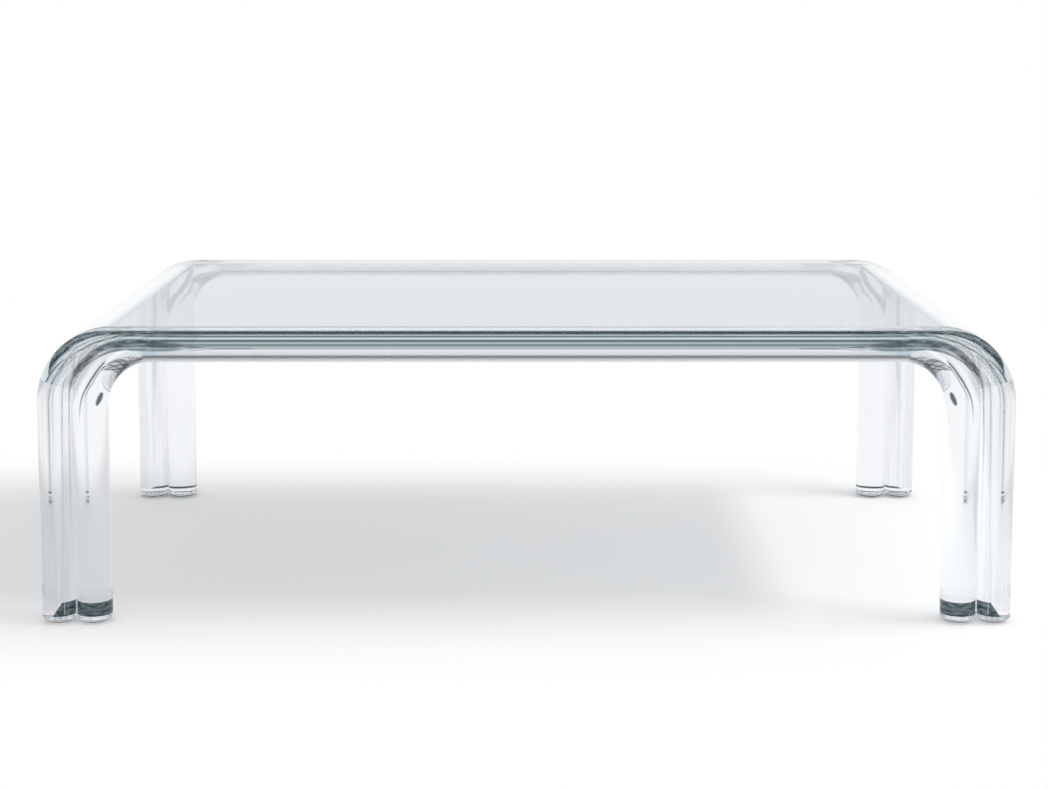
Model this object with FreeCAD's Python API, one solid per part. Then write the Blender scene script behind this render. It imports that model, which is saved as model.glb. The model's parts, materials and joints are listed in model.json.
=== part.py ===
import FreeCAD, Part
import math
import os

# Clear waterfall coffee table, millimetres.
# +X runs along the table, +Y to the back, +Z up; the origin is on the floor under the middle of the top.
# Two bent rods stand as hoops at the front and the back. A thick sheet lies flush between them, let into
# a rebate along each rod, and both ends of the sheet follow the rods down round the bends.
# A second bent rod stands inside each corner leg and dies into the underside of the hoop.

Vector = FreeCAD.Vector

# Overall sizes
table_length = 1300.0
table_width = 700.0
table_height = 400.0

# Rods
rod_diameter = 47.5
hoop_outer_bend = 102.0
inner_leg_inner_bend = 60.0
leg_gap = 0.3
foot_rounding = 8.0
cope_toe_length = 14.0

# Sheet
sheet_thickness = 24.0
sheet_wrap_degrees = 75.0
sheet_end_rounding = 1.0

# Floor pads
pad_diameter = 30.0
pad_thickness = 1.5

# Clear bond between pieces, and how far cutting bodies run past what they cut
bond_line = 0.2
cut_margin = 5.0
end_tolerance = 0.001

# Sizes worked out from those above
rod_radius = rod_diameter / 2
rod_foot_z = pad_thickness
rail_z = table_height - rod_radius
hoop_y = table_width / 2 - rod_radius
hoop_leg_x = table_length / 2 - rod_radius
hoop_bend = hoop_outer_bend - rod_radius
inner_leg_x = hoop_leg_x - rod_diameter - leg_gap
inner_leg_bend = inner_leg_inner_bend + rod_radius
bend_centre_x = hoop_leg_x - hoop_bend
bend_centre_z = rail_z - hoop_bend
inner_bend_centre_x = inner_leg_x - inner_leg_bend
inner_bend_centre_z = rail_z - inner_leg_bend
sheet_wrap = math.radians(sheet_wrap_degrees)


def arc_edge(start, middle, end):
    return Part.Arc(start, middle, end).toShape()


def bend_point(side, centre_x, centre_z, radius, angle):
    """A point on a bend in the XZ plane, with the angle measured from straight up towards that side."""
    return Vector(
        side * (centre_x + radius * math.sin(angle)),
        0,
        centre_z + radius * math.cos(angle),
    )


def bend_arc(side, centre_x, centre_z, radius, first_angle, last_angle):
    angles = (first_angle, (first_angle + last_angle) / 2, last_angle)
    points = [bend_point(side, centre_x, centre_z, radius, angle) for angle in angles]
    return arc_edge(*points)


def swept_rod(path_edges, radius):
    """A round rod along a path that starts upwards at its first edge."""
    path = Part.Wire(path_edges)
    start = path_edges[0].Vertexes[0].Point
    section = Part.Wire([Part.Circle(start, Vector(0, 0, 1), radius).toShape()])
    return path.makePipeShell([section], True, False)


def rounded_foot(rod):
    """Rounds the edges of a rod where it stands on its pad."""
    foot_edges = [
        edge
        for edge in rod.Edges
        if all(abs(point.z - rod_foot_z) < end_tolerance for point in edge.discretize(5))
    ]
    return rod.makeFillet(foot_rounding, foot_edges)


def hoop_path():
    quarter_turn = math.pi / 2
    left_foot = Vector(-hoop_leg_x, 0, rod_foot_z)
    right_foot = Vector(hoop_leg_x, 0, rod_foot_z)
    left_bend = bend_arc(-1, bend_centre_x, bend_centre_z, hoop_bend, quarter_turn, 0)
    right_bend = bend_arc(1, bend_centre_x, bend_centre_z, hoop_bend, 0, quarter_turn)
    left_leg = Part.makeLine(left_foot, Vector(-hoop_leg_x, 0, bend_centre_z))
    rail = Part.makeLine(Vector(-bend_centre_x, 0, rail_z), Vector(bend_centre_x, 0, rail_z))
    right_leg = Part.makeLine(Vector(hoop_leg_x, 0, bend_centre_z), right_foot)
    return [left_leg, left_bend, rail, right_bend, right_leg]


def band_face(outer_radius, inner_radius, wrap):
    """The XZ outline of a band that lies flat along the top and bends down at both ends."""
    outer_top_z = bend_centre_z + outer_radius
    inner_top_z = bend_centre_z + inner_radius
    outer_top = Part.makeLine(
        Vector(-bend_centre_x, 0, outer_top_z), Vector(bend_centre_x, 0, outer_top_z)
    )
    inner_top = Part.makeLine(
        Vector(bend_centre_x, 0, inner_top_z), Vector(-bend_centre_x, 0, inner_top_z)
    )
    edges = [outer_top, inner_top]
    for side in (-1, 1):
        edges.append(bend_arc(side, bend_centre_x, bend_centre_z, outer_radius, 0, wrap))
        edges.append(bend_arc(side, bend_centre_x, bend_centre_z, inner_radius, 0, wrap))
        outer_end = bend_point(side, bend_centre_x, bend_centre_z, outer_radius, wrap)
        inner_end = bend_point(side, bend_centre_x, bend_centre_z, inner_radius, wrap)
        edges.append(Part.makeLine(outer_end, inner_end))
    return Part.Face(Part.Wire(Part.__sortEdges__(edges)))


def top_sheet():
    """The top: a flat sheet whose two ends are bent down with the hoops."""
    wrap = sheet_wrap - bond_line / hoop_outer_bend
    inner_radius = hoop_outer_bend - sheet_thickness
    half_width = hoop_y - bond_line
    sheet = band_face(hoop_outer_bend, inner_radius, wrap).extrude(Vector(0, 2 * half_width, 0))
    sheet.translate(Vector(0, -half_width, 0))
    lowest_end_z = bend_point(1, bend_centre_x, bend_centre_z, hoop_outer_bend, wrap).z
    end_corner_z = bend_point(1, bend_centre_x, bend_centre_z, inner_radius, wrap).z
    end_edges = [
        edge
        for edge in sheet.Edges
        if edge.Length > 2 * half_width - end_tolerance
        and min(abs(edge.CenterOfMass.z - z) for z in (lowest_end_z, end_corner_z)) < end_tolerance
    ]
    return sheet.makeFillet(sheet_end_rounding, end_edges)


def rebate_cutter():
    """What is cut from the upper inner quarter of a hoop at Y = 0 whose inside faces +Y."""
    outer_radius = hoop_outer_bend + cut_margin
    inner_radius = hoop_outer_bend - sheet_thickness - bond_line
    return band_face(outer_radius, inner_radius, sheet_wrap).extrude(
        Vector(0, rod_radius + cut_margin, 0)
    )


def hoop():
    """A hoop at Y = 0: leg, bend, rail, bend and leg in one rod, rebated for the sheet on its +Y side."""
    rod = rounded_foot(swept_rod(hoop_path(), rod_radius))
    return rod.cut(rebate_cutter())


def inner_leg():
    """The left inner leg at Y = 0, coped to the underside of the hoop with a blunt toe."""
    quarter_turn = math.pi / 2
    foot = Vector(-inner_leg_x, 0, rod_foot_z)
    leg = Part.makeLine(foot, Vector(-inner_leg_x, 0, inner_bend_centre_z))
    bend = bend_arc(-1, inner_bend_centre_x, inner_bend_centre_z, inner_leg_bend, quarter_turn, 0)
    rod = rounded_foot(swept_rod([leg, bend], rod_radius))
    coped = rod.cut(swept_rod(hoop_path(), rod_radius + bond_line))
    toe_x = -inner_bend_centre_x - cope_toe_length
    beyond_toe = Part.makeBox(
        cope_toe_length + cut_margin,
        rod_diameter + 2 * cut_margin,
        rod_diameter + 2 * cut_margin,
        Vector(toe_x, -rod_radius - cut_margin, rail_z - rod_radius - cut_margin),
    )
    trimmed = coped.cut(beyond_toe)
    return max(trimmed.Solids, key=lambda solid: solid.Volume)


def floor_pad(leg_x):
    return Part.makeCylinder(pad_diameter / 2, pad_thickness, Vector(leg_x, 0, 0))


def turned_to_back(shape):
    """A front piece turned half round the table's middle, which is the back piece."""
    turned = shape.copy()
    turned.rotate(Vector(0, 0, 0), Vector(0, 0, 1), 180)
    return turned


def mirrored_to_right(shape):
    return shape.mirror(Vector(0, 0, 0), Vector(1, 0, 0))


def at_front(shape):
    placed = shape.copy()
    placed.translate(Vector(0, -hoop_y, 0))
    return placed


def build_pieces():
    front_hoop = at_front(hoop())
    front_left_leg = at_front(inner_leg())
    front_right_leg = mirrored_to_right(front_left_leg)
    pieces = {
        "top_sheet": top_sheet(),
        "front_hoop": front_hoop,
        "back_hoop": turned_to_back(front_hoop),
        "front_left_inner_leg": front_left_leg,
        "front_right_inner_leg": front_right_leg,
        "back_left_inner_leg": turned_to_back(front_right_leg),
        "back_right_inner_leg": turned_to_back(front_left_leg),
    }
    for leg_name, leg_x in (("outer", hoop_leg_x), ("inner", inner_leg_x)):
        front_left_pad = at_front(floor_pad(-leg_x))
        front_right_pad = at_front(floor_pad(leg_x))
        pieces["front_left_%s_pad" % leg_name] = front_left_pad
        pieces["front_right_%s_pad" % leg_name] = front_right_pad
        pieces["back_left_%s_pad" % leg_name] = turned_to_back(front_right_pad)
        pieces["back_right_%s_pad" % leg_name] = turned_to_back(front_left_pad)
    return pieces


os.makedirs("parts", exist_ok=True)
for node, piece in build_pieces().items():
    piece.exportStep("parts/%s.step" % node)
    box = piece.BoundBox
    print(
        "%-24s valid %s, %d solid, %.3f l, X %.1f to %.1f, Y %.1f to %.1f, Z %.1f to %.1f"
        % (
            node,
            piece.isValid(),
            len(piece.Solids),
            piece.Volume / 1e6,
            box.XMin,
            box.XMax,
            box.YMin,
            box.YMax,
            box.ZMin,
            box.ZMax,
        )
    )
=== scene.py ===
"""Clear waterfall coffee table: finish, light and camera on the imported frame. Metres."""

import json
import math
from functools import partial
from types import SimpleNamespace

import bmesh
import bpy
import numpy as np
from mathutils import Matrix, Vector

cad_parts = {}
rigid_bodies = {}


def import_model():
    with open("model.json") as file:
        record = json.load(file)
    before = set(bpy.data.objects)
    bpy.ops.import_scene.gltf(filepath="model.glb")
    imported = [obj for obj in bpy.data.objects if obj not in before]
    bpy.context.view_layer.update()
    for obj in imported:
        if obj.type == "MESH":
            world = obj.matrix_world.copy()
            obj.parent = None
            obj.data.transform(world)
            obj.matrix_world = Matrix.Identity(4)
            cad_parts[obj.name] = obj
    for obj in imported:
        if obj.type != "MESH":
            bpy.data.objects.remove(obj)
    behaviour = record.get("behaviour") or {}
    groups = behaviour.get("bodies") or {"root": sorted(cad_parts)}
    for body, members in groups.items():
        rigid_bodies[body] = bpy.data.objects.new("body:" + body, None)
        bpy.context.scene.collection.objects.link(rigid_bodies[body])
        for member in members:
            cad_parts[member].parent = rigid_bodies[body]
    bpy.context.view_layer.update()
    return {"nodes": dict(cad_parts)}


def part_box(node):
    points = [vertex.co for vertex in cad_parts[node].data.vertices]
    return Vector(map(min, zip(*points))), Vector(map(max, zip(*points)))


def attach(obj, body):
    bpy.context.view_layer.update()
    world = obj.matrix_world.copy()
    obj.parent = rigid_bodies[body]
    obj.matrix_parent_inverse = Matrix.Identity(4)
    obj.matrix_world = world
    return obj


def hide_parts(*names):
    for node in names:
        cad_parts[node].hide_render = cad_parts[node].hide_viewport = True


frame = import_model()

# ---------------------------------------------------------------- sizes
# Read from the frame where a node's box gives them, and otherwise the maker's own sizes.
hoop_low, hoop_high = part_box("front_hoop")
rod_radius = (hoop_high.y - hoop_low.y) / 2
hoop_y = -(hoop_high.y + hoop_low.y) / 2
table_height = hoop_high.z
foot_z = hoop_low.z
half_length = hoop_high.x

hoop_outer_bend = 0.102
inner_leg_inner_bend = 0.060
foot_rounding = 0.008
sheet_thickness = 0.024
sheet_wrap = math.radians(75)
# How far the two legs of a corner run into each other, and an inner leg's top lies inside the rail,
# so that they join with no seam between them
leg_bond = 0.0005
cope_taper = 0.0005

rail_z = table_height - rod_radius
hoop_bend = hoop_outer_bend - rod_radius
hoop_leg_x = half_length - rod_radius
bend_centre_x = hoop_leg_x - hoop_bend
bend_centre_z = rail_z - hoop_bend
inner_leg_bend = inner_leg_inner_bend + rod_radius
inner_leg_x = hoop_leg_x - 2 * rod_radius + leg_bond
inner_bend_centre_x = inner_leg_x - inner_leg_bend
inner_bend_centre_z = rail_z - inner_leg_bend
# The rings along a rail stop here, clear of where the inner legs are coped to it.
clear_of_cope = inner_bend_centre_x - 2 * rod_radius
# Where the sheet's underside meets a rod, as an angle round the rod from its outside
underside_angle = 2 * math.pi - math.acos((rod_radius - sheet_thickness) / rod_radius)
# The front and the back hoop: where each rod's axis lies, and which way its section faces
hoop_sides = ((-hoop_y, 1), (hoop_y, -1))

# How finely round shapes are divided
arc_steps = 84
quadrant_steps = 28
rod_steps = arc_steps + quadrant_steps
bend_steps = 45
lower_bend_steps = bend_steps // 3
foot_steps = 8
rail_ring_spacing = 0.006

# Points this close become one, in a shell as it is made and where pieces have been joined
shell_weld = 1e-7
joint_weld = 2e-6
shortest_edge = 1e-6

STRAIGHT_UP = 0.0
SIDEWAYS = math.pi / 2


# ---------------------------------------------------------------- shape of the clear body
def steps(first, last, count):
    """Evenly spaced values from first to last, with both of them."""
    return [first + (last - first) * i / count for i in range(count + 1)]


def bend_place(side, centre_x, centre_z, radius, angle):
    """A place on a rod's axis in a bend, and the direction that points away from its centre."""
    out_x, out_z = side * math.sin(angle), math.cos(angle)
    return (side * centre_x + radius * out_x, centre_z + radius * out_z, out_x, out_z)


def rod_section(scale=1.0):
    """The round section as (across, out), from its outside over its face. A back rod mirrors it."""
    lower = steps(0, underside_angle, arc_steps)
    upper = steps(underside_angle, 2 * math.pi, quadrant_steps)[1:-1]
    return [
        (-rod_radius * scale * math.sin(angle), rod_radius * scale * math.cos(angle))
        for angle in lower + upper
    ]


def ring(place, axis_y, facing, section):
    """A section set on a rod's axis. facing is 1 at the front and -1 at the back."""
    x, z, out_x, out_z = place
    return [
        Vector((x + out * out_x, axis_y + facing * across, z + out * out_z))
        for across, out in section
    ]


def hoop_places(side, first_angle, last_angle, count):
    """Places on a hoop's axis, from one angle of a bend to another."""
    return [
        bend_place(side, bend_centre_x, bend_centre_z, hoop_bend, angle)
        for angle in steps(first_angle, last_angle, count)
    ]


def foot_rings(leg_x, side, axis_y, facing):
    """Rings round the edge of a foot, downwards."""
    rings = []
    for angle in steps(0, SIDEWAYS, foot_steps):
        inset = foot_rounding * (1 - math.cos(angle))
        z = foot_z + foot_rounding * (1 - math.sin(angle))
        section = rod_section((rod_radius - inset) / rod_radius)
        rings.append(
            [Vector((side * (leg_x + out), axis_y + facing * across, z)) for across, out in section]
        )
    return rings


class Shell:
    """Collects vertices and faces for one closed mesh."""

    def __init__(self):
        self.mesh = bmesh.new()

    def add_ring(self, points):
        return [self.mesh.verts.new(point) for point in points]

    def face(self, corners):
        self.mesh.faces.new(corners)

    def bridge(self, ring_a, ring_b, count=None):
        """Quads between two rings, all the way round or so many from their first corners."""
        around = len(ring_a)
        for i in range(around if count is None else count):
            j = (i + 1) % around
            self.face((ring_a[i], ring_a[j], ring_b[j], ring_b[i]))

    def run_to_foot(self, above, rings):
        """Runs a rod on from the ring above, through further rings, and closes its foot."""
        for points in rings:
            below = self.add_ring(points)
            self.bridge(above, below)
            above = below
        self.face(above)

    def finish(self, name):
        bmesh.ops.remove_doubles(self.mesh, verts=self.mesh.verts, dist=shell_weld)
        bmesh.ops.recalc_face_normals(self.mesh, faces=self.mesh.faces)
        data = bpy.data.meshes.new(name)
        self.mesh.to_mesh(data)
        self.mesh.free()
        piece = bpy.data.objects.new(name, data)
        bpy.context.scene.collection.objects.link(piece)
        return piece


def top_places():
    """Where sections stand from one end of the sheet to the other."""
    left = hoop_places(-1, sheet_wrap, STRAIGHT_UP, bend_steps)
    right = hoop_places(1, STRAIGHT_UP, sheet_wrap, bend_steps)
    count = round((bend_centre_x - clear_of_cope) / rail_ring_spacing)
    near = steps(bend_centre_x, clear_of_cope, count)[1:]
    rail = [(-x, rail_z, 0.0, 1.0) for x in near] + [(x, rail_z, 0.0, 1.0) for x in reversed(near)]
    return left + rail + right


def hoops_and_sheet():
    """Both hoops with the sheet flush between them, as one closed shell."""
    shell = Shell()
    section = rod_section()
    rows = [
        [shell.add_ring(ring(place, axis_y, facing, section)) for axis_y, facing in hoop_sides]
        for place in top_places()
    ]
    # Only the two end rows keep the quarter of each rod that lies inside the sheet.
    for row in rows[1:-1]:
        for rod in row:
            for vertex in rod[arc_steps + 1 :]:
                shell.mesh.verts.remove(vertex)
            del rod[arc_steps + 1 :]
    for (front_a, back_a), (front_b, back_b) in zip(rows, rows[1:]):
        shell.bridge(front_a, front_b, arc_steps)
        shell.bridge(back_a, back_b, arc_steps)
        for edge in (0, arc_steps):
            # The sheet's upper face, then its underside
            shell.face((front_a[edge], back_a[edge], back_b[edge], front_b[edge]))
    for side, row in ((-1, rows[0]), (1, rows[-1])):
        front, back = row
        # The sheet's end face, in strips from rod to rod
        around = list(range(arc_steps, rod_steps)) + [0]
        for i, j in zip(around, around[1:]):
            shell.face((front[i], front[j], back[j], back[i]))
        for rod, (axis_y, facing) in zip(row, hoop_sides):
            lower_bend = hoop_places(side, sheet_wrap, SIDEWAYS, lower_bend_steps)[1:]
            rings = [ring(place, axis_y, facing, section) for place in lower_bend]
            rings += foot_rings(hoop_leg_x, side, axis_y, facing)
            shell.run_to_foot(rod, rings)
    return shell.finish("clear_body")


def inner_leg(side, axis_y, facing):
    """An inner leg whose top runs just inside the rail, so that it dies into the rail's side."""
    shell = Shell()
    rings = []
    for angle in steps(STRAIGHT_UP, SIDEWAYS, bend_steps):
        place = bend_place(side, inner_bend_centre_x, inner_bend_centre_z, inner_leg_bend, angle)
        taper = cope_taper * (1 - angle / SIDEWAYS)
        section = rod_section((rod_radius - taper) / rod_radius)
        rings.append(ring(place, axis_y, facing, section))
    rings += foot_rings(inner_leg_x, side, axis_y, facing)
    top = shell.add_ring(rings[0])
    shell.face(top)
    shell.run_to_foot(top, rings[1:])
    return shell.finish("inner_leg")


def join(body, pieces):
    """Joins the pieces to the body, as they are once the bond has set clear."""
    for piece in pieces:
        union = body.modifiers.new("bond", "BOOLEAN")
        union.operation = "UNION"
        union.solver = "EXACT"
        union.object = piece
    evaluated = body.evaluated_get(bpy.context.evaluated_depsgraph_get())
    data = bpy.data.meshes.new_from_object(evaluated)
    body.modifiers.clear()
    body.data = data
    for piece in pieces:
        bpy.data.objects.remove(piece)
    mesh = bmesh.new()
    mesh.from_mesh(data)
    bmesh.ops.remove_doubles(mesh, verts=mesh.verts, dist=joint_weld)
    bmesh.ops.dissolve_degenerate(mesh, dist=shortest_edge, edges=mesh.edges)
    open_edges = sum(1 for edge in mesh.edges if not edge.is_manifold)
    measures = (len(mesh.faces), open_edges, mesh.calc_volume() * 1000)
    print("clear_body: %d faces, %d open edges, %.4f litres" % measures)
    mesh.to_mesh(data)
    mesh.free()


# ---------------------------------------------------------------- exact normals, places on rods
# Which part of the body a spot is on
HOOP, INNER_LEG, OTHER = 0.0, 1.0, 2.0

# A face belongs to a surface that it lies this close to, and whose normals agree with its own.
fit_tolerance = 6e-5
least_agreement = 0.7
# Lengths stay over this, so that none is divided by zero.
least_length = 1e-9
# A point this far above a foot's rounding is off the foot, and its error grows by the second value.
above_rounding, off_foot = 1e-5, 1.0
# A face with a corner past the first angle and one before the second crosses a rod's inner side.
crossing_last, crossing_first = 120, -60

hoop_rod = {
    "leg_x": hoop_leg_x,
    "centre_x": bend_centre_x,
    "centre_z": bend_centre_z,
    "bend": hoop_bend,
    "taper": 0,
    "part": HOOP,
}
inner_leg_rod = {
    "leg_x": inner_leg_x,
    "centre_x": inner_bend_centre_x,
    "centre_z": inner_bend_centre_z,
    "bend": inner_leg_bend,
    "taper": cope_taper,
    "part": INNER_LEG,
}


def tube_fit(points, axis_y, leg_x, centre_x, centre_z, bend, taper, part):
    """How far points lie from a bent rod's surface, that surface's normals, and places on the rod.

    A place is degrees round the rod from its outer side over its face, metres along it from where
    the bend starts, and which part it is on.
    """
    side = np.sign(points[:, 0])
    x, y, z = np.abs(points[:, 0]), points[:, 1] - axis_y, points[:, 2]
    arm_x, arm_z = x - centre_x, z - centre_z
    length = np.maximum(np.hypot(arm_x, arm_z), least_length)
    on_leg = arm_z < 0
    on_rail = arm_x < 0
    bend_x, bend_z = centre_x + bend * arm_x / length, centre_z + bend * arm_z / length
    axis_x = np.where(on_leg, leg_x, np.where(on_rail, x, bend_x))
    axis_z = np.where(on_leg, z, np.where(on_rail, centre_z + bend, bend_z))
    angle = np.where(on_leg, SIDEWAYS, np.where(on_rail, 0, np.arctan2(arm_x, arm_z)))
    radius = rod_radius - taper * (1 - angle / SIDEWAYS)
    out = np.stack([side * (x - axis_x), y, z - axis_z], 1)
    reach = np.maximum(np.linalg.norm(out, axis=1), least_length)
    outer = (x - axis_x) * np.sin(angle) + (z - axis_z) * np.cos(angle)
    along = np.where(on_leg, bend * SIDEWAYS - arm_z, np.where(on_rail, arm_x, bend * angle))
    round_rod = np.degrees(np.arctan2(y * np.sign(axis_y), outer))
    places = np.stack([round_rod, along, np.full(len(points), part)], 1)
    return np.abs(reach - radius), out / reach[:, None], places


def foot_fit(points, axis_y, leg_x):
    """The same for the rounded edge of a foot, which has no place on a rod."""
    side = np.sign(points[:, 0])
    flat = np.stack([np.abs(points[:, 0]) - leg_x, points[:, 1] - axis_y], 1)
    reach = np.maximum(np.linalg.norm(flat, axis=1), least_length)
    centre = flat / reach[:, None] * (rod_radius - foot_rounding)
    drop = points[:, 2] - foot_z - foot_rounding
    out = np.stack([side * (flat[:, 0] - centre[:, 0]), flat[:, 1] - centre[:, 1], drop], 1)
    length = np.maximum(np.linalg.norm(out, axis=1), least_length)
    error = np.abs(length - foot_rounding) + np.where(drop > above_rounding, off_foot, 0.0)
    return error, out / length[:, None], np.full((len(points), 3), OTHER)


def sheet_fit(points, radius, outwards):
    """The same for the sheet's upper or under face."""
    side = np.sign(points[:, 0])
    arm_x, arm_z = np.abs(points[:, 0]) - bend_centre_x, points[:, 2] - bend_centre_z
    length = np.maximum(np.hypot(arm_x, arm_z), least_length)
    flat = arm_x < 0
    error = np.where(flat, np.abs(arm_z - radius), np.abs(length - radius))
    normal_x = np.where(flat, 0, side * arm_x / length) * outwards
    normal_z = np.where(flat, 1, arm_z / length) * outwards
    normals = np.stack([normal_x, np.zeros(len(points)), normal_z], 1)
    return error, normals, np.full((len(points), 3), OTHER)


def surfaces():
    """Every curved face of the body, as a function from points to errors, normals and places."""
    fits = []
    for axis_y in (-hoop_y, hoop_y):
        for rod in (hoop_rod, inner_leg_rod):
            fits.append(partial(tube_fit, axis_y=axis_y, **rod))
        for leg_x in (hoop_leg_x, inner_leg_x):
            fits.append(partial(foot_fit, axis_y=axis_y, leg_x=leg_x))
    fits.append(partial(sheet_fit, radius=hoop_outer_bend, outwards=1))
    fits.append(partial(sheet_fit, radius=hoop_outer_bend - sheet_thickness, outwards=-1))
    return fits


def read_rows(members, field, width, kind=float):
    """One field of all the members of a mesh, as rows of so many numbers."""
    values = np.zeros(len(members) * width, kind)
    members.foreach_get(field, values)
    return values.reshape(-1, width)


def set_exact_normals(piece):
    """Gives each face corner the normal and the place of the surface that it was cut from."""
    data = piece.data
    data.shade_smooth()
    corner_vertex = read_rows(data.loops, "vertex_index", 1, int)[:, 0]
    points = read_rows(data.vertices, "co", 3)[corner_vertex]
    first = read_rows(data.polygons, "loop_start", 1, int)[:, 0]
    flat_normals = read_rows(data.polygons, "normal", 3)
    counts = np.diff(np.append(first, len(corner_vertex)))
    corner_face = np.repeat(np.arange(len(first)), counts)
    best_error = np.full(len(first), fit_tolerance)
    normals = flat_normals[corner_face]
    places = np.full(normals.shape, OTHER)
    for fit in surfaces():
        error, normal, place = fit(points)
        worst = np.maximum.reduceat(error, first)
        agreement = np.minimum.reduceat((normal * flat_normals[corner_face]).sum(1), first)
        better = (worst < best_error) & (agreement > least_agreement)
        best_error = np.where(better, worst, best_error)
        normals = np.where(better[corner_face][:, None], normal, normals)
        places = np.where(better[corner_face][:, None], place, places)
    # A face that crosses the inner side of a rod keeps its angles in step.
    widest = np.maximum.reduceat(places[:, 0], first)[corner_face]
    crosses = (widest > crossing_last) & (places[:, 0] < crossing_first)
    places[:, 0] += np.where(crosses, 360.0, 0.0)
    attribute = data.attributes.new("rod_place", "FLOAT_VECTOR", "CORNER")
    attribute.data.foreach_set("vector", places.ravel())
    data.normals_split_custom_set(normals)


def make_clear_body():
    body = hoops_and_sheet()
    corners = [(side, axis_y, facing) for side in (-1, 1) for axis_y, facing in hoop_sides]
    join(body, [inner_leg(*corner) for corner in corners])
    set_exact_normals(body)
    return body


# ---------------------------------------------------------------- shader maths
class Value:
    """A shader socket, with arithmetic that adds Math nodes."""

    def __init__(self, tree, socket):
        self.tree = tree
        self.socket = socket

    def _math(self, operation, left, right):
        return add_node(self.tree, "ShaderNodeMath", {"operation": operation}, {0: left, 1: right})

    def __add__(self, other):
        return self._math("ADD", self, other)

    def __sub__(self, other):
        return self._math("SUBTRACT", self, other)

    def __rsub__(self, other):
        return self._math("SUBTRACT", other, self)

    def __mul__(self, other):
        return self._math("MULTIPLY", self, other)

    def __truediv__(self, other):
        return self._math("DIVIDE", self, other)

    def __abs__(self):
        return self._math("ABSOLUTE", self, 0.0)

    __radd__ = __add__
    __rmul__ = __mul__


def add_node(tree, kind, settings=None, inputs=None, output=0):
    """Adds a node: its settings first, then its sockets, each a value or a link."""
    node = tree.nodes.new(kind)
    for key, value in (settings or {}).items():
        if key == "stops":
            set_stops(node.color_ramp, value)
        else:
            setattr(node, key, value)
    for key, value in (inputs or {}).items():
        if isinstance(value, Value):
            tree.links.new(value.socket, node.inputs[key])
        else:
            node.inputs[key].default_value = value
    return Value(tree, node.outputs[output]) if node.outputs else None


def set_stops(ramp, stops):
    """Gives a colour ramp its stops, each a place and either one level or three."""
    for spare in list(ramp.elements)[1:]:
        ramp.elements.remove(spare)
    for i, (place, level) in enumerate(stops):
        stop = ramp.elements[0] if i == 0 else ramp.elements.new(place)
        stop.position = place
        stop.color = opaque(level if isinstance(level, tuple) else (level, level, level))


def opaque(colour):
    return (*colour, 1)


def new_material(name):
    material = bpy.data.materials.new(name)
    material.use_nodes = True
    material.node_tree.nodes.clear()
    return material, material.node_tree


def smooth_step(value, low, high, at_low=0.0, at_high=1.0):
    """A soft change from at_low to at_high, as value goes from low to high."""
    return add_node(
        value.tree,
        "ShaderNodeMapRange",
        {"interpolation_type": "SMOOTHSTEP"},
        {"Value": value, "From Min": low, "From Max": high, "To Min": at_low, "To Max": at_high},
    )


def fade_out(value, low, high):
    return smooth_step(value, low, high, 1.0, 0.0)


def split(kind, whole):
    """The three parts of a vector or a colour, by a Separate node of that kind."""
    separate = add_node(whole.tree, kind, None, {0: whole}).socket.node
    return [Value(whole.tree, socket) for socket in separate.outputs[:3]]


def light_path(tree, *names):
    """What Light Path says of a ray, for each of the names."""
    rays = tree.nodes.new("ShaderNodeLightPath")
    return [Value(tree, rays.outputs[name]) for name in names]


def mix_colours(factor, colour_a, colour_b):
    colour_result = 2
    return add_node(
        factor.tree,
        "ShaderNodeMix",
        {"data_type": "RGBA"},
        {"Factor": factor, "A": colour_a, "B": colour_b},
        colour_result,
    )


def mix_shaders(factor, shader_a, shader_b):
    return add_node(
        factor.tree, "ShaderNodeMixShader", None, {0: factor, 1: shader_a, 2: shader_b}
    )


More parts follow.
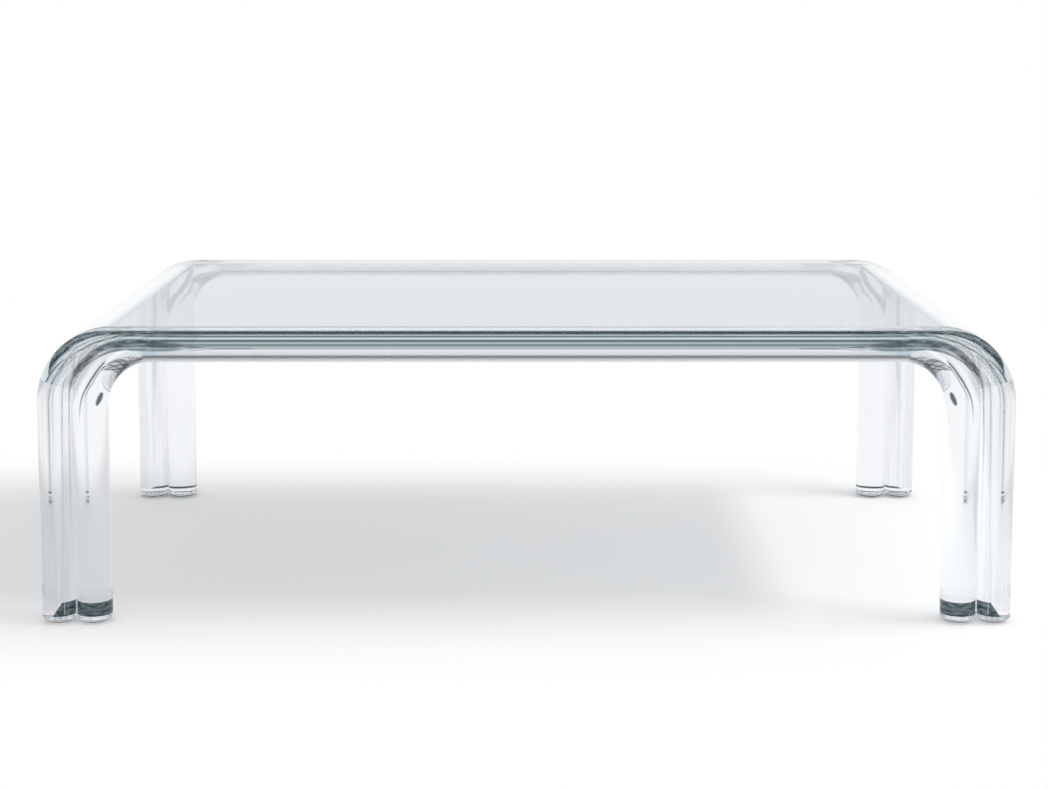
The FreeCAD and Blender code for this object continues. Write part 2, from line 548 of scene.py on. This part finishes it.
# ---------------------------------------------------------------- painted lines and shade on the clear body
# A line's stops are metres along the rod from the start of its bend, degrees round the rod, half
# the line's width in degrees, and its strength. The middle of a rail all lies at -0.10, so what a
# line is there it is along the whole rail. A stop before that only sets how it gets there.
# These lines are painted on the clear body, in place of the dark lines that refraction of the
# studio draws in the rods.
hoop_strokes = (
    # the painted dark line where rod and sheet meet, which widens round the bend and ends in a
    # point
    (
        (-0.10, 41.1, 7.9, 1.0),
        (0.00, 41, 8.5, 0.97),
        (0.021, 38, 14, 0.96),
        (0.035, 35, 20, 0.97),
        (0.0515, 35, 23, 0.97),
        (0.0655, 37, 20, 0.97),
        (0.0765, 48, 11, 0.95),
        (0.084, 57, 4, 0.9),
        (0.088, 60, 1, 0.0),
    ),
    # the second line, thin all the way
    (
        (-0.10, 55.9, 3.1, 0.8),
        (-0.045, 54.5, 3.2, 0.8),
        (-0.0275, 52.5, 3.4, 0.82),
        (-0.012, 53.5, 3.2, 0.8),
        (-0.004, 60, 2.8, 0.77),
        (0.009, 68, 2.6, 0.7),
        (0.031, 77, 2.6, 0.7),
        (0.0675, 82, 2.4, 0.6),
        (0.105, 84, 2.4, 0.45),
        (0.142, 83, 2.4, 0.4),
        (0.30, 79, 2.0, 0.0),
    ),
    # the pair on the face of the rail, which run together in the bend
    (
        (-0.14, 69, 3.8, 0.72),
        (-0.06, 70, 4.5, 0.8),
        (-0.04, 71.5, 8.0, 0.85),
        (-0.025, 73, 9.0, 0.85),
        (-0.012, 77.5, 11.5, 0.85),
        (0.0, 84, 10.0, 0.85),
        (0.021, 102, 10.5, 0.85),
        (0.041, 120, 12.5, 0.85),
        (0.0625, 130, 11, 0.8),
        (0.0765, 137, 5.5, 0.6),
        (0.116, 155, 4, 0.5),
        (0.17, 149, 3, 0.4),
        (0.34, 149, 2, 0.0),
    ),
    (
        (-0.10, 83.3, 3.6, 0.60),
        (-0.088, 84, 4.0, 0.8),
        (-0.05, 84, 4.0, 0.75),
        (-0.02, 86, 4, 0.5),
        (0.0, 90, 2, 0.0),
    ),
    # the knot of lines where the rail runs into the bend
    (
        (-0.10, 80, 2, 0.0),
        (-0.086, 79, 3.0, 0.5),
        (-0.065, 78, 3.6, 0.8),
        (-0.05, 77.5, 3.6, 0.8),
        (-0.04, 76, 2.5, 0.0),
    ),
    (
        (-0.10, 90, 2.5, 0.0),
        (-0.085, 90, 4.0, 0.45),
        (-0.06, 88, 3.2, 0.75),
        (-0.035, 88, 3.5, 0.7),
        (-0.012, 89, 4, 0.5),
        (0.0, 92, 3, 0.0),
    ),
    (
        (-0.10, 97, 3.0, 0.0),
        (-0.095, 97, 3.4, 0.35),
        (-0.084, 98.5, 4.5, 0.6),
        (-0.057, 99.5, 5.5, 0.7),
        (-0.033, 98.5, 4.0, 0.62),
        (-0.012, 99, 5.5, 0.5),
        (0.004, 104, 5, 0.0),
    ),
    (
        (-0.04, 112, 8, 0.0),
        (-0.02, 112, 14, 0.2),
        (-0.01, 112, 16, 0.25),
        (0.003, 116, 14, 0.22),
        (0.015, 125, 10, 0.0),
    ),
    # the soft shade under them, and the thin lines along the rail's face
    ((-0.14, 78, 11, 0.42), (-0.04, 79, 11, 0.42), (0.0, 88, 10, 0.3), (0.02, 100, 8, 0.0)),
    ((-0.14, 59.5, 3.5, 0.2), (-0.05, 60, 3, 0.2), (-0.01, 66, 2, 0.0)),
    ((-0.14, 89.5, 3.4, 0.36), (-0.05, 90, 3.6, 0.38), (-0.01, 96, 2, 0.0)),
    ((-0.14, 121.8, 2.5, 0.56), (-0.05, 122.3, 2.5, 0.56), (-0.01, 130, 2, 0.0)),
    # fainter lines that leave the knot and run down the outer leg
    (
        (-0.06, 96, 2.5, 0.0),
        (-0.0475, 96, 3, 0.45),
        (-0.0075, 102, 3.2, 0.5),
        (0.013, 118, 3.6, 0.55),
        (0.0375, 143, 5, 0.55),
        (0.055, 162, 6, 0.3),
        (0.06, 166, 6, 0.0),
    ),
    (
        (0.0, 50, 2, 0.0),
        (0.012, 58, 2, 0.5),
        (0.04, 66, 2, 0.5),
        (0.075, 90, 2, 0.4),
        (0.115, 96, 2, 0.3),
        (0.19, 96, 2, 0.0),
    ),
    (
        (0.06, 108, 2, 0.0),
        (0.08, 115, 2.4, 0.4),
        (0.1145, 126, 2.6, 0.42),
        (0.17, 123, 2.4, 0.38),
        (0.32, 120, 2, 0.0),
    ),
)
inner_leg_strokes = (
    # the painted lines that run down from the cope into the valley between the legs
    (
        (0.058, 82, 2, 0.0),
        (0.064, 84, 3.0, 0.85),
        (0.0845, 85, 3.2, 0.85),
        (0.099, 81, 3.2, 0.8),
        (0.113, 74, 2.8, 0.75),
        (0.124, 70, 2.4, 0.65),
        (0.1345, 67, 2.0, 0.45),
        (0.155, 64, 1.5, 0.0),
    ),
    (
        (0.063, 92, 2, 0.0),
        (0.067, 93, 2.2, 0.6),
        (0.0955, 92, 2.2, 0.55),
        (0.1075, 86, 2, 0.45),
        (0.125, 80, 1.5, 0.0),
    ),
    # a painted dark fleck on the face of the leg
    (
        (0.1025, 133, 1, 0.0),
        (0.105, 132.5, 6, 0.92),
        (0.110, 132, 8.5, 0.92),
        (0.115, 130, 9.5, 0.92),
        (0.1205, 126.5, 8, 0.92),
        (0.125, 124, 4, 0.92),
        (0.127, 123, 1, 0.0),
    ),
)
# a painted dark edge and painted dark facets where the inner leg is coped to the underside of the
# rail, in place of the refraction there
cope_edge = (
    (0.010, 150, 1, 0.0),
    (0.0145, 148, 2, 0.8),
    (0.0255, 155, 2.2, 0.8),
    (0.043, 156, 2.4, 0.8),
    (0.056, 134, 2.6, 0.8),
    (0.067, 108, 2.6, 0.8),
    (0.074, 92, 2, 0.0),
)
cope_facets = (
    (0.010, 138, 2, 0.0),
    (0.0145, 136, 8, 0.7),
    (0.0255, 134, 20, 0.7),
    (0.043, 127, 24, 0.7),
    (0.056, 113, 18, 0.7),
    (0.067, 98, 8, 0.7),
    (0.074, 90, 2, 0.0),
)
# where the rail's face shows the sheet's blue-green edge, painted on as a blue-green tint in place
# of the light that the sheet carries there
rail_face = (
    (-0.10, 70, 26, 0.72),
    (-0.09, 74, 29, 0.85),
    (-0.06, 80, 36, 1.0),
    (-0.02, 82, 38, 0.9),
    (0.02, 84, 30, 0.0),
)

# How much of a line's half width its soft edge takes up, and the most degrees that an edge takes
line_softness = 0.6
cope_edge_softness = 0.4
cope_facet_softness = 0.15
widest_edge = 4.5
# A line's table is kept in a colour ramp: turns as shares of a circle, and widths of a quarter.
circle = 360
quarter = 90

# Streaks: about so many degrees wide, so many metres long, and the least that is left between them
bend_patches = (14.0, 0.016, 0.72)
bend_streaks = (3.5, 0.30, 0.72)
cope_streaks = (6.0, 0.06, 0.0)
fine_streaks = (6.0, 0.30, 0.93)
# Streaks in the painted shade above a foot
foot_band_streaks = (30.0, 0.004, 0.86)
# On the sheet's bend they are metres high and metres across instead.
sheet_streaks = (0.0045, 0.9, 0.45)
# Degrees that streaks turn round the rod in each metre
cope_streak_twist = 1300
bend_streaks_twist = 250
# Each part has streaks of its own, this far away in the cloud that they come from.
part_spacing = 5
streak_range = (0.40, 0.60)
back_cope_fill = 0.5

# Along a rod: where its patches start, and where the darker streaks of its bend start and end
patches_start = (-0.09, -0.04)
bend_streaks_start = (-0.06, 0.0)
bend_streaks_end = (0.06, 0.13)
# Across the table, where the front ends and the back starts
front_to_back = (-0.01, 0.01)
# Halfway from one part's number to the next
between_parts = (0.4, 0.6)
# The lines are only drawn for the first turns of a ray.
few_turns = (3.4, 4.6)

# The dark band above a foot, which is painted shade: how high its edges lie over the foot's
# underside, how much lower they lie on a back leg, and how soft they are
band_low, band_high = 0.0095, 0.0300
band_low_back_drop, band_high_back_drop = 0.0035, 0.0180
band_low_softness, band_high_softness = 0.0020, 0.0012
# On a hoop's leg it starts on a slant: at this turn at this height, and so many degrees to a metre
slant_turn, slant_height, slant_rate, slant_softness = 78, 0.0105, 1650, 3
# Where it is weaker, in the valley, at a painted glint and away from the face: degrees round the
# rod, and its strength over degrees away from there, given as start, end, strength before and
# strength after
valley_turn, valley_strength = 168, (4, 8, 0.2, 1.0)
glint_turn, glint_strength = 117, (0.6, 2.4, 0.6, 1.0)
face_turn, face_strength = 90, (82, 96, 1.0, 0.08)

# Heights over a foot's underside where its thin painted dark edge, painted shade, starts, where
# that edge ends, and where its untinted bottom ends
outline_start = (0.0001, 0.0004)
outline_end = (0.0020, 0.0045)
outline_strength = 0.9
clear_foot_end = (0.0080, 0.0100)
# The shade on the sheet's bend ends between these depths under the top, and between these heights
# over the floor.
sheet_bend_depths = (0.016, 0.0008)
sheet_bend_heights = (0.10, 0.12)
sheet_bend_shade = 0.10
# Over a foot's underside, where the room's light starts to go straight through
soft_shadow_start = (0.004, 0.020)

# The dark colour of the painted lines and painted shade
painted_line_colour = (0.02, 0.055, 0.07)
sheet_colour = (0.967, 0.985, 1.0)
rod_colour = (0.960, 0.967, 0.978)
# The painted blue-green of the rail's face
rail_face_painted_tint = (0.80, 0.957, 0.985)
clear_foot_colour = (1, 1, 1)
soft_shadow_colour = (0.89, 0.90, 0.91)
lamp_shadow_colour = (0.60, 0.62, 0.64)
glass_ior = 1.5
glass_tint = (0.70, 0.80, 0.85)
glass_density = 0.7


def over_foot(heights):
    return [foot_z + height for height in heights]


def stroke(round_rod, along, stops, softness=line_softness):
    """One line that runs along a rod, by the stops of its table."""
    tree = along.tree
    first, last = stops[0][0], stops[-1][0]
    ramp = [
        ((at - first) / (last - first), (turn / circle, half / quarter, strength))
        for at, turn, half, strength in stops
    ]
    place = (along - first) / (last - first)
    run = add_node(tree, "ShaderNodeValToRGB", {"stops": ramp}, {0: place})
    centre, half_width, strength = split("ShaderNodeSeparateColor", run)
    away = abs(round_rod / circle - centre) * (circle / quarter)
    edge = add_node(
        tree,
        "ShaderNodeMath",
        {"operation": "MINIMUM"},
        {0: half_width * softness, 1: widest_edge / quarter},
    )
    return fade_out(away, half_width - edge, half_width + edge) * strength


def streaks(across, along, part, width, length, least):
    """Uneven streaks along a rod, about so wide and so long, from least to 1."""
    tree = along.tree
    spread = add_node(
        tree,
        "ShaderNodeCombineXYZ",
        None,
        {0: across / width, 1: along / length, 2: part * part_spacing},
    )
    cloud = add_node(
        tree, "ShaderNodeTexNoise", None, {"Vector": spread, "Scale": 1.0, "Detail": 2.0}
    )
    return smooth_step(cloud, *streak_range, least)


def painted_foot_shade(spot):
    """The painted dark band just above a foot, painted shade in place of the dark seen through the
    glass there. On a hoop's leg it starts part of the way round.
    """
    low = foot_z + band_low - spot.at_back * band_low_back_drop
    high = foot_z + band_high - spot.at_back * band_high_back_drop
    above_low = smooth_step(spot.height, low, low + band_low_softness)
    band = above_low * fade_out(spot.height, high - band_high_softness, high)
    rise = spot.height - foot_z - slant_height
    slant = abs(spot.round_rod) - slant_turn - rise * slant_rate
    valley = smooth_step(abs(spot.round_rod - valley_turn), *valley_strength)
    glint = smooth_step(abs(spot.round_rod - glint_turn), *glint_strength)
    face = smooth_step(abs(spot.round_rod - face_turn), *face_strength)
    past_slant = smooth_step(slant, -slant_softness, slant_softness)
    return band * face * (spot.on_inner_leg + spot.on_hoop * past_slant * valley * glint)


def painted_foot_outline(spot):
    """The thin dark edge painted round the bottom of a foot: painted shade where it stands on the
    floor.
    """
    above_flat = smooth_step(spot.height, *over_foot(outline_start))
    return above_flat * smooth_step(spot.height, *over_foot(outline_end), outline_strength, 0.0)


def find_spot(tree, ray_depth):
    """Where on the body a spot is, and whether the ray that sees it has made few turns."""
    rod_place = add_node(
        tree, "ShaderNodeAttribute", {"attribute_name": "rod_place"}, output="Vector"
    )
    round_rod, along, part = split("ShaderNodeSeparateXYZ", rod_place)
    place = add_node(tree, "ShaderNodeTexCoord", output="Object")
    _, depth_way, height = split("ShaderNodeSeparateXYZ", place)
    return SimpleNamespace(
        round_rod=round_rod,
        along=along,
        part=part,
        depth_way=depth_way,
        height=height,
        at_back=smooth_step(depth_way, *front_to_back),
        on_hoop=fade_out(part, *between_parts),
        on_inner_leg=fade_out(abs(part - INNER_LEG), *between_parts),
        few_turns=fade_out(ray_depth, *few_turns),
    )


def shades(spot):
    """Each thing that darkens the body, in turn, from 0 for clear to 1 for dark: painted lines,
    painted shade and streaks.
    """
    round_rod, along, part = spot.round_rod, spot.along, spot.part
    in_bend = smooth_step(along, *patches_start)
    patches = 1 - in_bend + in_bend * streaks(round_rod, along, part, *bend_patches)
    for stops in hoop_strokes:
        yield stroke(round_rod, along, stops) * patches * spot.on_hoop
    for stops in inner_leg_strokes:
        yield stroke(round_rod, along, stops) * spot.on_inner_leg
    both_faces = abs(round_rod)
    facets = streaks(both_faces + along * cope_streak_twist, along, part, *cope_streaks)
    facets = facets + (1 - facets) * spot.at_back * back_cope_fill
    yield stroke(both_faces, along, cope_facets, cope_facet_softness) * facets * spot.on_inner_leg
    yield stroke(both_faces, along, cope_edge, cope_edge_softness) * spot.on_inner_leg
    band_streaks = streaks(round_rod, spot.height, part, *foot_band_streaks)
    yield painted_foot_shade(spot) * band_streaks
    yield painted_foot_outline(spot)
    depths = [table_height - depth for depth in sheet_bend_depths]
    on_sheet_bend = (1 - spot.on_hoop - spot.on_inner_leg) * fade_out(spot.height, *depths)
    above_feet = smooth_step(spot.height, *sheet_bend_heights)
    sheet_lines = streaks(spot.height, spot.depth_way, part, *sheet_streaks)
    yield on_sheet_bend * above_feet * sheet_lines * sheet_bend_shade
    fine = 1 - streaks(round_rod, along, part, *fine_streaks)
    in_bend = smooth_step(along, *bend_streaks_start) * fade_out(along, *bend_streaks_end)
    twisted = round_rod + along * bend_streaks_twist
    bend_lines = in_bend * (1 - streaks(twisted, along, part, *bend_streaks))
    yield spot.on_hoop * bend_lines
    yield spot.on_hoop * fine


def tint_with_painted_lines(spot):
    """The body's own faint colour, darkened by painted lines and painted shade and with the rail's
    face painted blue-green, as the square root of what passes.
    """
    clear = 1.0
    for shade in shades(spot):
        clear = (1 - shade) * clear
    clear = 1 - (1 - clear) * spot.few_turns
    on_rail_face = stroke(spot.round_rod, spot.along, rail_face) * spot.on_hoop * spot.few_turns
    rod = mix_colours(on_rail_face, opaque(rod_colour), opaque(rail_face_painted_tint))
    plain = mix_colours(spot.on_hoop + spot.on_inner_leg, opaque(sheet_colour), rod)
    on_foot = fade_out(spot.height, *over_foot(clear_foot_end))
    unmarked = mix_colours(on_foot, plain, opaque(clear_foot_colour))
    return mix_colours(clear, opaque(painted_line_colour), unmarked)


def clear_glass():
    """Polished water-clear body, with dark lines painted along the rods in place of those that
    refraction draws there.
    """
    material, tree = new_material("polished_clear")
    ray_depth, to_lamp, to_room = light_path(tree, "Ray Depth", "Is Shadow Ray", "Is Diffuse Ray")
    spot = find_spot(tree, ray_depth)
    tint = tint_with_painted_lines(spot)
    through = add_node(tree, "ShaderNodeVectorMath", {"operation": "MULTIPLY"}, {0: tint, 1: tint})
    surface = add_node(
        tree,
        "ShaderNodeBsdfPrincipled",
        {"distribution": "GGX"},
        {"Base Color": through, "Roughness": 0.0, "IOR": glass_ior, "Transmission Weight": 1.0},
    )
    # Lamp light and the room's own light go straight through to the floor, and leave a soft shadow.
    lamp_light, room_light = (
        add_node(tree, "ShaderNodeBsdfTransparent", None, {"Color": opaque(colour)})
        for colour in (lamp_shadow_colour, soft_shadow_colour)
    )
    off_floor = smooth_step(spot.height, *over_foot(soft_shadow_start))
    past_feet = mix_shaders(off_floor, surface, room_light)
    in_room = mix_shaders(to_room, surface, past_feet)
    lit = mix_shaders(to_lamp, in_room, lamp_light)
    depth = add_node(
        tree,
        "ShaderNodeVolumeAbsorption",
        None,
        {"Color": opaque(glass_tint), "Density": glass_density},
    )
    add_node(tree, "ShaderNodeOutputMaterial", None, {"Surface": lit, "Volume": depth})
    return material


# ---------------------------------------------------------------- floor pads
pad_colour = (0.93, 0.95, 0.96)
pad_ior = 1.45
pad_transmission = 0.9
pad_roughness = 0.15
pad_haze = 0.2
pad_haze_scale = 220.0


def pad_plastic():
    """Soft clear pad under each foot, faintly hazy."""
    material, tree = new_material("clear_pad")
    place = add_node(tree, "ShaderNodeTexCoord", output="Object")
    haze = add_node(
        tree, "ShaderNodeTexNoise", None, {"Vector": place, "Scale": pad_haze_scale, "Detail": 3.0}
    )
    surface = add_node(
        tree,
        "ShaderNodeBsdfPrincipled",
        None,
        {
            "Base Color": opaque(pad_colour),
            "Roughness": haze * pad_haze + pad_roughness,
            "IOR": pad_ior,
            "Transmission Weight": pad_transmission,
        },
    )
    add_node(tree, "ShaderNodeOutputMaterial", None, {"Surface": surface})
    return material


# ---------------------------------------------------------------- studio
WHITE = (1, 1, 1, 1)

# After this many turns inside the clear body, light finds a plain white studio.
many_turns = (5, 8)

floor_reach = 40.0
floor_grey = 0.90
# The floor goes from paper to plain white over these distances, measured with the table's length
# shrunk and from a little behind its middle.
floor_fade = (0.23, 0.62)
floor_scale = (0.20, 1, 1)
floor_shift = (0, -0.03, 0)

# Degrees above the horizon, and how bright the studio is there
studio_levels = (
    (-90, 1.0),
    (5, 1.0),
    (9, 0.70),
    (13, 0.80),
    (17, 0.62),
    (20, 0.35),
    (24, 0.10),
    (29, 0.12),
    (33, 0.45),
    (40, 0.75),
    (55, 1.0),
    (90, 1.0),
)
fill_level = 0.755

key_place = (2.3, -0.35, 2.1)
key_aim = (0, 0, 0.2)
key_size = (1.4, 0.35)
key_power = 42.0

camera_place = (0, -2.8077, 0.8249)
camera_pitch = 6.089
camera_shift = (-0.00229, -0.18)
sensor_width = 36.0
# The lens, in pixels of a picture this wide
lens_pixels = 1899.2
picture_width = 1048

# Light crosses the sheet from end to end in many inner reflections.
inner_reflections = 32


def studio_floor():
    """A white floor that keeps the table's shadow and fades to plain white away from it."""
    shell = Shell()
    corners = ((-1, -1), (1, -1), (1, 1), (-1, 1))
    shell.face(shell.add_ring([Vector((x * floor_reach, y * floor_reach, 0)) for x, y in corners]))
    floor = shell.finish("studio_floor")
    material, tree = new_material("studio_white")
    place = add_node(tree, "ShaderNodeTexCoord", output="Object")
    shrunk = add_node(
        tree,
        "ShaderNodeVectorMath",
        {"operation": "MULTIPLY_ADD"},
        {0: place, 1: floor_scale, 2: floor_shift},
    )
    distance = add_node(
        tree, "ShaderNodeVectorMath", {"operation": "LENGTH"}, {0: shrunk}, output="Value"
    )
    away = smooth_step(distance, *floor_fade)
    grey = opaque((floor_grey, floor_grey, floor_grey))
    paper = add_node(tree, "ShaderNodeBsdfDiffuse", None, {"Color": grey})
    plain = add_node(tree, "ShaderNodeEmission", None, {"Color": WHITE, "Strength": 1.0})
    camera_ray, glossy_ray, through_ray, ray_depth = light_path(
        tree, "Is Camera Ray", "Is Glossy Ray", "Is Transmission Ray", "Ray Depth"
    )
    seen = add_node(
        tree,
        "ShaderNodeMath",
        {"operation": "ADD", "use_clamp": True},
        {0: camera_ray + glossy_ray, 1: through_ray},
    )
    plainness = 1 - (1 - away) * (1 - smooth_step(ray_depth, *many_turns))
    surface = mix_shaders(plainness * seen, paper, plain)
    add_node(tree, "ShaderNodeOutputMaterial", None, {"Surface": surface})
    floor.data.materials.append(material)


def studio_world():
    """White backdrop round the horizon, a dark gap above it and bright ceiling panels over that."""
    world = bpy.data.worlds.new("studio")
    bpy.context.scene.world = world
    world.use_nodes = True
    tree = world.node_tree
    tree.nodes.clear()
    direction = add_node(tree, "ShaderNodeTexCoord")
    height = add_node(tree, "ShaderNodeSeparateXYZ", None, {0: direction}, output="Z")
    # The ramp runs from straight down at 0 to straight up at 1.
    stops = [(math.sin(math.radians(above)) / 2 + 0.5, level) for above, level in studio_levels]
    around = add_node(tree, "ShaderNodeValToRGB", {"stops": stops}, {0: height * 0.5 + 0.5})
    camera_ray, diffuse_ray, ray_depth = light_path(
        tree, "Is Camera Ray", "Is Diffuse Ray", "Ray Depth"
    )
    studio, white, fill = (
        add_node(tree, "ShaderNodeBackground", None, {"Color": colour, "Strength": level})
        for colour, level in ((around, 1.0), (WHITE, 1.0), (WHITE, fill_level))
    )
    plainness = 1 - (1 - camera_ray) * (1 - smooth_step(ray_depth, *many_turns))
    shown = mix_shaders(plainness, studio, white)
    lit = mix_shaders(diffuse_ray, shown, fill)
    add_node(tree, "ShaderNodeOutputWorld", None, {"Surface": lit})


def key_light():
    """A softbox high at the right, which the clear body neither mirrors nor shows."""
    lamp = bpy.data.lights.new("softbox", "AREA")
    lamp.shape = "RECTANGLE"
    lamp.size, lamp.size_y = key_size
    lamp.energy = key_power
    light = bpy.data.objects.new("softbox", lamp)
    light.visible_glossy = False
    light.visible_transmission = False
    light.location = key_place
    light.rotation_mode = "QUATERNION"
    light.rotation_quaternion = (Vector(key_place) - Vector(key_aim)).to_track_quat("Z", "Y")
    bpy.context.scene.collection.objects.link(light)


def camera():
    """Level enough to keep the legs upright, raised to look along the top."""
    data = bpy.data.cameras.new("camera")
    data.sensor_width = sensor_width
    data.lens = lens_pixels / picture_width * sensor_width
    data.shift_x, data.shift_y = camera_shift
    view = bpy.data.objects.new("camera", data)
    view.location = camera_place
    view.rotation_euler = (math.radians(90 - camera_pitch), 0, 0)
    bpy.context.scene.collection.objects.link(view)
    bpy.context.scene.camera = view


# ---------------------------------------------------------------- build
body = make_clear_body()
body.data.materials.clear()
body.data.materials.append(clear_glass())
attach(body, "root")
pads = [node for node in frame["nodes"] if node.endswith("_pad")]
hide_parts(*[node for node in frame["nodes"] if node not in pads])
pad_material = pad_plastic()
for node in pads:
    slots = frame["nodes"][node].data.materials
    slots.clear()
    slots.append(pad_material)
studio_floor()
studio_world()
key_light()
camera()
bpy.context.scene.view_settings.view_transform = "Standard"
light_paths = bpy.context.scene.cycles
light_paths.max_bounces = inner_reflections
light_paths.glossy_bounces = inner_reflections
light_paths.transmission_bounces = inner_reflections
